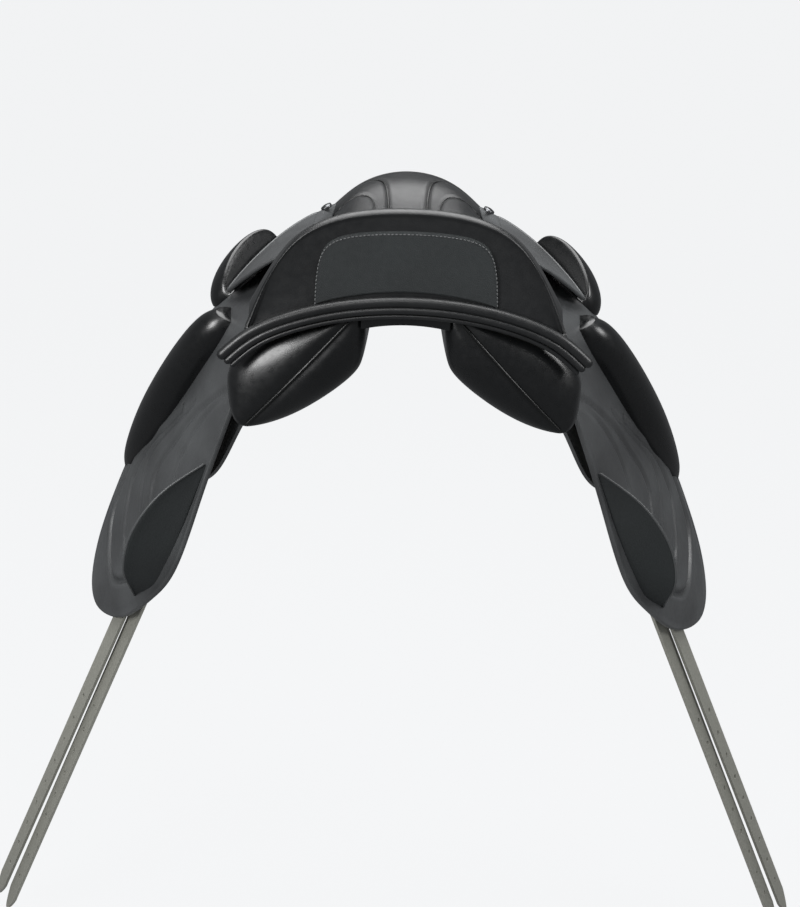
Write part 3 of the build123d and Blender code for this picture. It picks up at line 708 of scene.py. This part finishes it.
# ------------------------------------------------------------------ channel closing strip
# A strip of calf closes the channel behind, between the two panels. Its upper edge is tucked
# under the rear welt and its lower edge is turned in.
strip_half = 41.0
strip_face = -236.0
strip_leather = 2.5
strip_x = np.linspace(-strip_half, strip_half, 60)
strip_low = 39 + 4.5 * (1 - (strip_x / strip_half) ** 2)
strip_high = 60 - 3 * (strip_x / strip_half) ** 2
rise = np.linspace(0, 1, 14)[:, None]
strip_y = strip_face + 3 * (1 - rise) ** 2 + 0 * strip_x
strip_z = strip_low + (strip_high - strip_low) * rise
strip_points = np.dstack([strip_x + 0 * rise, strip_y, strip_z])
strip = grid_piece("channel_closing_strip", strip_points, smooth_calf)
thicken(strip, strip_leather)
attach(strip, "saddle_tree")

# ------------------------------------------------------------------ flaps
# Each flap is one long cut of grained calf that hangs from the seat's edge. It is lined, padded
# with thin felt and quilted along sewn channels.
# Its grey is partly the grained calf's own tone and partly painted sheen: the base colour is raised
# to stand in for the soft light falling on the flaps, skirts and bands.
flap_calf_painted_sheen = leather("grained_calf_painted_sheen", "303132", "464849", 0.42, 1.3, 0.22, coat=0.15)
yaw = math.radians(27)
spread = 0.31
lean = math.sqrt(1 + spread**2)
flap_out = 185.0
origin = np.array([flap_out * math.cos(yaw), -flap_out * math.sin(yaw), 0])
forward = np.array([math.sin(yaw), math.cos(yaw), 0])
upward = np.array([-spread * math.cos(yaw), spread * math.sin(yaw), 1]) / lean
outward = np.array([math.cos(yaw), -math.sin(yaw), spread]) / lean
neck_length = 112.0
bend_softness = 34.0
fold_x = 104.0
fold_z = 70.0
padding = 4.5
padding_edge = 15.0
seam_allowance = 9.0
flap_leather = 6.0


def on_flap(u, v, height):
    """Place of (u, v) on the flap, a height off its face.

    Below the bend the flap is a plane; above it, it runs straight to the hinge line. The two
    directions are blended by the hyperbola that has both as its arms.
    """
    u, v, height = np.broadcast_arrays(u, v, height)
    arm = np.sqrt(v**2 + bend_softness**2)
    down = (v - arm) / 2
    neck = np.clip((v + arm) / 2 / neck_length, 0, 1)
    foot = origin + u[..., None] * forward
    head_y = -62 + 174 * np.clip((u + 18) / 136, 0, 1)
    head = np.stack([np.full_like(head_y, fold_x), head_y, np.full_like(head_y, fold_z)], axis=-1)
    plate = foot + down[..., None] * upward + height[..., None] * outward
    return plate + neck[..., None] * (head - foot)


flap_outline = [
    (-18, 96), (-18, 30), (-16, -62), (-1, -156), (8, -230), (24, -287), (62, -330), (110, -369),
    (160, -391), (209, -398), (245, -378), (257, -326), (245, -262), (222, -198), (178, -114),
    (135, -30), (118, 40), (112, 96), (60, 100), (10, 100),
]
# Each row: the line of a sewn channel on the flap, its width and its depth.
channel_lines = [
    ([(150, -150), (185, -180), (206, -214), (217, -260), (217, -290), (205, -315), (180, -342),
      (152, -346), (122, -332)], 4.5, 4.2),
    ([(96, -118), (136, -155), (166, -186), (182, -220), (184, -245), (172, -280),
      (150, -310)], 3.6, 2.6),
    ([(70, -104), (120, -150), (146, -178), (155, -205), (147, -235), (130, -265)], 3.2, 1.9),
    ([(-12, -62), (57, -112), (87, -148), (112, -181), (121, -212), (112, -240)], 3.8, 2.6),
    ([(-14, -66), (20, -96), (48, -130), (62, -160), (66, -190)], 3.2, 1.7),
]


def quilting(u, v):
    """Height of the flap's padding: one soft field, pressed down along each sewn channel.

    The field rises from the edge by a bell curve; a channel is a wide low bell less a narrow one.
    """
    places = np.stack([u, v], axis=-1)
    near = distance_to(curve_through(flap_outline, 500, closed=True), places)
    height = padding * (1 - np.exp(-((near / padding_edge) ** 2)))
    for line, width, depth in channel_lines:
        gap = distance_to(curve_through(line, 160), places)
        swell = 0.6 * np.exp(-((gap / (width * 3)) ** 2))
        pull = 1.45 * np.exp(-((gap / width) ** 2))
        height = height + depth * (swell - pull)
    return height * np.clip(near / seam_allowance, 0, 1)


def leaf_points(outline, spine_start, spine_end, rings, samples, place, face, thickness):
    """Closed leaf: rings run from a spine out to the outline, over the edge and back beneath.

    face gives the height of the upper skin at (u, v); the edge is half a circle whose width is
    the leather's thickness.
    """
    edge = curve_through(outline, samples, closed=True)
    start = np.array(spine_start, float)
    run = np.array(spine_end, float) - start
    share = np.clip(((edge - start) @ run) / (run @ run), 0, 1)
    spine = start + share[:, None] * run
    grow = 1 - (1 - np.linspace(0, 1, rings)) ** 1.4
    plan = spine[None] + (edge - spine)[None] * grow[:, None, None]
    top = face(plan[..., 0], plan[..., 1])
    inward = (spine - edge) / np.linalg.norm(spine - edge, axis=1, keepdims=True)
    turn = np.linspace(0, np.pi, 7)[1:-1]
    rim_plan = edge[None] - inward[None] * (np.sin(turn) * thickness * 0.35)[:, None, None]
    rim_height = -thickness / 2 + thickness / 2 * np.cos(turn)[:, None] + 0 * share[None]
    below = plan[::-6] if rings > 12 else plan[::-1]
    under_height = np.full(below.shape[:2], -thickness)
    everything = np.vstack([plan, rim_plan, below])
    heights = np.vstack([top, rim_height, under_height])
    return place(everything[..., 0], everything[..., 1], heights)


flap_points = leaf_points(
    flap_outline, (48, 60), (150, -300), 110, 420, on_flap, quilting, flap_leather
)
for side_name, side in SIDES.items():
    flap = grid_piece(f"flap_calf_painted_sheen_{side_name}", mirrored(flap_points, side), flap_calf_painted_sheen, wrap=True)
    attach(flap, f"flap_{side_name}")
    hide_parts(f"flap_{side_name}")


# ------------------------------------------------------------------ thigh rolls and knee blocks
# Foam blocks under polished calf. The long roll stands along the flap's front edge; the knee
# block sits above it, ahead of the skirt.
def arch_run(path, across, rise, widths, heights, turns=40, base=-1.0):
    """Low arch carried along a path: half an ellipse over a flat foot, at each place."""
    angle = np.linspace(0, np.pi, turns)
    over = (
        path[:, None] + across[:, None] * (np.cos(angle)[None, :, None] * widths[:, None, None] / 2)
        + rise[:, None] * (np.sin(angle)[None, :, None] ** 0.85 * heights[:, None, None] + base)
    )
    back = np.linspace(0, 1, 8)[1:-1]
    foot = over[:, -1:] + (over[:, :1] - over[:, -1:]) * back[None, :, None]
    return np.concatenate([over, foot], axis=1)


# Each row: the roll's place on the flap, along and down, its width and its height.
roll_rows = [(60, 2, 30, 22), (72, -18, 46, 29), (100, -54, 54, 31), (132, -98, 55, 31),
             (164, -142, 50, 28), (194, -182, 38, 21), (217, -212, 22, 12), (230, -230, 4, 2)]
roll_table = curve_through(roll_rows, 120)
roll_spot = on_flap(roll_table[:, 0], roll_table[:, 1], 0)
roll_run = np.gradient(roll_spot, axis=0)
roll_run /= np.linalg.norm(roll_run, axis=1, keepdims=True)
roll_across = np.cross(roll_run, outward)
roll_points = arch_run(
    roll_spot, roll_across, np.broadcast_to(outward, roll_spot.shape),
    np.maximum(roll_table[:, 2], 2), np.maximum(roll_table[:, 3], 1),
)
for side_name, side in SIDES.items():
    points = mirrored(roll_points, side)
    roll_piece = grid_piece(
        f"thigh_roll_calf_{side_name}", points, smooth_calf, wrap=True, ends=(True, True)
    )
    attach(roll_piece, f"flap_{side_name}")
    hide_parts(f"thigh_roll_{side_name}")

skirt_fold_x, skirt_fold_z = 104.0, 79.0
skirt_edge_x, skirt_edge_z = 192.0, 18.0
skirt_arch = 9.5


def skirt_height(x):
    """Height of the skirt's face: a straight fall from its fold to its edge, arched up between."""
    share = (x - skirt_fold_x) / (skirt_edge_x - skirt_fold_x)
    fall = share * (skirt_fold_z - skirt_edge_z)
    return skirt_fold_z - fall + 4 * skirt_arch * share * (1 - share)


knee_half_length = 62.0
knee_width = 68.0
knee_rise = 32.0
under_skirt = 7.0
press_softness = 5.0
knee_spot = np.array([170.0, 66.0, 26.0])
knee_run = np.array([0.66, -0.42, -0.62])
knee_run /= np.linalg.norm(knee_run)
knee_normal = np.array([0.449, -0.112, 0.886])
knee_normal /= np.linalg.norm(knee_normal)
knee_side = np.cross(knee_run, knee_normal)
knee_angle = np.linspace(-np.pi / 2 + 0.05, np.pi / 2 - 0.05, 120)
knee_along = (knee_half_length * np.sin(knee_angle))[:, None]
knee_path = knee_spot + knee_run * knee_along + knee_normal * 4
knee_points = arch_run(
    knee_path, np.broadcast_to(knee_side, knee_path.shape),
    np.broadcast_to(knee_normal, knee_path.shape),
    knee_width * np.cos(knee_angle), knee_rise * np.cos(knee_angle), turns=90,
)
skirt_low = skirt_height(knee_points[..., 0]) - under_skirt
front_edge = 193 - 90 * np.clip((knee_points[..., 1] - 12) / 134, 0, 1) ** 1.15
past = np.clip((knee_points[..., 0] - front_edge - 6) / 26, 0, 1)
ceiling = skirt_low + 60 * past**2 * (3 - 2 * past)
over = (knee_points[..., 2] - ceiling) / press_softness
knee_points[..., 2] -= press_softness * np.logaddexp(0, over)
for side_name, side in SIDES.items():
    points = mirrored(knee_points, side)
    knee = grid_piece(
        f"knee_block_calf_{side_name}", points, smooth_calf, wrap=True, ends=(True, True)
    )
    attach(knee, f"flap_{side_name}")
    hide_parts(f"knee_block_{side_name}")

# ------------------------------------------------------------------ calf blocks
# A wall of foam along the flap's rear edge. Its rear face is buffed calf, hollowed a little, and
# a thin piping runs along its crest.
calf_piping_radius = 1.3
crest_column = 24
# Each row: the wall's place on the flap, along and down, and its height.
calf_rows = [(2, -152, 3), (6, -175, 22), (11, -205, 40), (22, -252, 50), (42, -297, 40),
             (64, -320, 22), (90, -338, 3)]
calf_table = curve_through(calf_rows, 120)
calf_foot = on_flap(calf_table[:, 0], calf_table[:, 1], 0)
calf_run = np.gradient(calf_foot, axis=0)
calf_run /= np.linalg.norm(calf_run, axis=1, keepdims=True)
calf_ahead = np.cross(outward, calf_run)
calf_ahead *= np.sign(calf_ahead @ forward)[:, None]
calf_section = np.array([
    (0.0, 0.0), (0.07, 0.25), (0.11, 0.5), (0.13, 0.75), (0.12, 0.93), (0.13, 1.0), (0.19, 1.0),
    (0.26, 0.86), (0.36, 0.55), (0.52, 0.22), (0.8, 0.0),
])
calf_profile = curve_through(calf_section, 46)
calf_tall = np.maximum(calf_table[:, 2], 1.5)
calf_size = calf_profile[None, :, :, None] * calf_tall[:, None, None, None]
calf_points = (
    calf_foot[:, None] + calf_ahead[:, None] * calf_size[:, :, 0]
    + outward * calf_size[:, :, 1]
)
crest = calf_points[:, crest_column] + outward * 0.4
for side_name, side in SIDES.items():
    points = mirrored(calf_points, side)
    calf = grid_piece(
        f"calf_block_wall_{side_name}", points, matte_calf, wrap=True, ends=(True, True)
    )
    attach(calf, f"flap_{side_name}")
    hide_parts(f"calf_block_{side_name}")
    edging = tube(
        f"calf_block_piping_{side_name}", mirrored(crest, side), calf_piping_radius, flap_calf_painted_sheen,
        up=(side * 0.85, -0.43, 0.3),
    )
    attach(edging, f"flap_{side_name}")

# ------------------------------------------------------------------ skirts
# A short leaf of grained calf hangs over the top of each flap and hides the stirrup bar. Its
# edge is turned over a cord and sewn.
skirt_leather = 3.4
skirt_cord_radius = 2.1
skirt_cord_sunk = 1.2
skirt_outline = [
    (104, -58), (130, -52), (160, -38), (182, -14), (193, 12), (186, 38), (168, 62), (146, 92),
    (122, 124), (104, 142), (103, 100), (103, 40), (103, -20),
]


def on_skirt(x, y, height):
    """Place in plan (x, y) on the skirt's arched face, moved up its slanted normal by a height."""
    return np.stack([x + height * 0.55, y, skirt_height(x) + height * 0.83], axis=-1)


def skirt_face(x, y):
    """Upper skin of the skirt, level with the leather's face."""
    return np.zeros(np.shape(x))


skirt_points = leaf_points(
    skirt_outline, (118, -20), (160, 30), 40, 260, on_skirt, skirt_face, skirt_leather
)
free_edge = slice(8, 190)
skirt_edge = curve_through(skirt_outline, 260, closed=True)[free_edge]
cord_path = on_skirt(skirt_edge[:, 0], skirt_edge[:, 1], np.full(len(skirt_edge), -skirt_cord_sunk))
for side_name, side in SIDES.items():
    points = mirrored(skirt_points, side)
    skirt = grid_piece(f"skirt_calf_{side_name}", points, flap_calf_painted_sheen, wrap=True)
    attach(skirt, f"skirt_{side_name}")
    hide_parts(f"skirt_{side_name}")
    cord_side = mirrored(cord_path, side)
    edging = tube(f"skirt_piping_{side_name}", cord_side, skirt_cord_radius, flap_calf_painted_sheen)
    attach(edging, f"skirt_{side_name}")

# ------------------------------------------------------------------ bands between seat and skirt
# A strip of grained calf is sewn along each side of the seat. The skirt is joined to it along
# the skirt's fold, and it tapers to nothing at both ends.
band_leather = 2.4
band_rear, band_front = -66.0, 172.0
band_stations = [-66, -47, 50, 138, 172]
band_y = np.linspace(band_rear, band_front, 120)
band_root_x = np.interp(band_y, band_stations, [101, 97, 92, 88, 84])
band_root_z = np.interp(band_y, band_stations, [50, 50, 58, 74, 84])
front_taper = np.clip((band_front - band_y) / 30, 0, 1) ** 0.6
rear_taper = np.clip((band_y - band_rear) / 22, 0, 1) ** 0.5
band_end = front_taper * rear_taper
band_fold_x = band_root_x + (104.5 - band_root_x) * band_end
band_fold_z = band_root_z + (78.0 - band_root_z) * band_end
share = np.linspace(0, 1, 16)[:, None]
band_points = np.stack(
    [band_root_x + (band_fold_x - band_root_x) * share, band_y + 0 * share,
     band_root_z + (band_fold_z - band_root_z) * share + 4.5 * np.sin(np.pi * share) * band_end],
    axis=-1,
)
for side_name, side in SIDES.items():
    band = grid_piece(f"seat_side_band_{side_name}", mirrored(band_points, side), flap_calf_painted_sheen)
    thicken(band, band_leather, offset=0)
    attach(band, "saddle_tree")

# ------------------------------------------------------------------ studs
# Pressed steel nail heads, darkened in oil. One is driven through the leather into the tree at
# each side of the pommel. The same steel is used for the tree's plates, bars and rivets.
steel_grain_mm = 1000 / 900
steel, steel_out = new_material("darkened_steel")
steel_place = add_node(steel, "ShaderNodeTexCoord")
steel_scratch = add_node(
    steel, "ShaderNodeTexNoise", {"Scale": 1 / (steel_grain_mm * MM), "Detail": 3.0},
    {"Vector": steel_place.outputs["Object"]},
)
steel_gloss = add_node(
    steel, "ShaderNodeMapRange", {"To Min": 0.22, "To Max": 0.42},
    {"Value": steel_scratch.outputs["Fac"]},
)
steel_shader = add_node(
    steel, "ShaderNodeBsdfPrincipled", {"Base Color": linear("6E6F71"), "Metallic": 1.0},
    {"Roughness": steel_gloss.outputs[0]},
)
steel.node_tree.links.new(steel_shader.outputs[0], steel_out.inputs[0])
stud_turn = np.linspace(0, 2 * np.pi, 36, endpoint=False)
stud_profile = curve_through(
    [(6.6, -2.5), (6.7, 0), (6.1, 0.9), (5.2, 0.8), (4.6, 1.3), (2.4, 2.0), (0.3, 2.2)], 26
)
stud_normal = np.array([0.5, -0.12, 0.86])
stud_normal /= np.linalg.norm(stud_normal)
stud_east = np.cross((0, 1, 0), stud_normal)
stud_east /= np.linalg.norm(stud_east)
stud_north = np.cross(stud_normal, stud_east)
stud_middle = np.array([94.5, 146.0, 86.0])
stud_ring = (
    np.cos(stud_turn)[None, :, None] * stud_east + np.sin(stud_turn)[None, :, None] * stud_north
)
stud_points = (
    stud_middle + stud_profile[:, 0, None, None] * stud_ring
    + stud_profile[:, 1, None, None] * stud_normal
)
for side_name, side in SIDES.items():
    points = mirrored(stud_points, side)
    stud = grid_piece(f"stud_head_{side_name}", points, steel, wrap=True, ends=(True, True))
    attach(stud, "saddle_tree")
    if side == 1:
        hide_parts("seat_studs")

# ------------------------------------------------------------------ billets
# Straps of pale waxed bridle leather with a row of punched holes. They hang from webs on the
# tree and keep the shape that the CAD gives them.
billet_grain_mm = 1000 / 420
billet_relief_mm = 0.4
billet_paint, billet_out = new_material("waxed_bridle_leather")
billet_place = add_node(billet_paint, "ShaderNodeTexCoord")
billet_grain = add_node(
    billet_paint, "ShaderNodeTexNoise", {"Scale": 1 / (billet_grain_mm * MM), "Detail": 6.0},
    {"Vector": billet_place.outputs["Object"]},
)
billet_tone = add_node(
    billet_paint, "ShaderNodeMix", {6: linear("5F5F59"), 7: linear("8A8A82")},
    {0: billet_grain.outputs["Fac"]}, data_type="RGBA",
)
billet_bump = add_node(
    billet_paint, "ShaderNodeBump", {"Strength": 0.3, "Distance": billet_relief_mm * MM},
    {"Height": billet_grain.outputs["Fac"]},
)
billet_shader = add_node(
    billet_paint, "ShaderNodeBsdfPrincipled", {"Roughness": 0.55},
    {"Base Color": billet_tone.outputs[2], "Normal": billet_bump.outputs[0]},
)
billet_paint.node_tree.links.new(billet_shader.outputs[0], billet_out.inputs[0])

# ------------------------------------------------------------------ what stays as CAD made it
# The laminated tree, its steel, the webbing, foam, lining, sweat flaps and billets keep the CAD's
# shape. Each gets the finish of its own material.
wood_paint = leather("laminated_beech", "8A6A44", "A07C50", 0.5, 6.0, 0.1)
web_paint = leather("woven_webbing", "B5AC93", "C8BFA6", 0.85, 1.6, 0.6)
foam_paint = leather("seat_foam", "C9C3AC", "D8D2BC", 0.9, 2.0, 0.3)
finish_of = {
    "tree": wood_paint, "seat_webbing": web_paint, "girth_webbing": web_paint,
    "seat_foam": foam_paint, "billet_web": web_paint, "channel_lining": smooth_calf,
    "sweat_flap": flap_calf_painted_sheen, "front_billet": billet_paint, "rear_billet": billet_paint,
    "head_plate": steel, "stirrup_bar": steel, "bar_rivets": steel, "bar_catch": steel,
    "seat_studs": steel,
}
for node_name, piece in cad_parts.items():
    for start, paint in finish_of.items():
        if node_name.startswith(start):
            piece.data.materials.clear()
            piece.data.materials.append(paint)
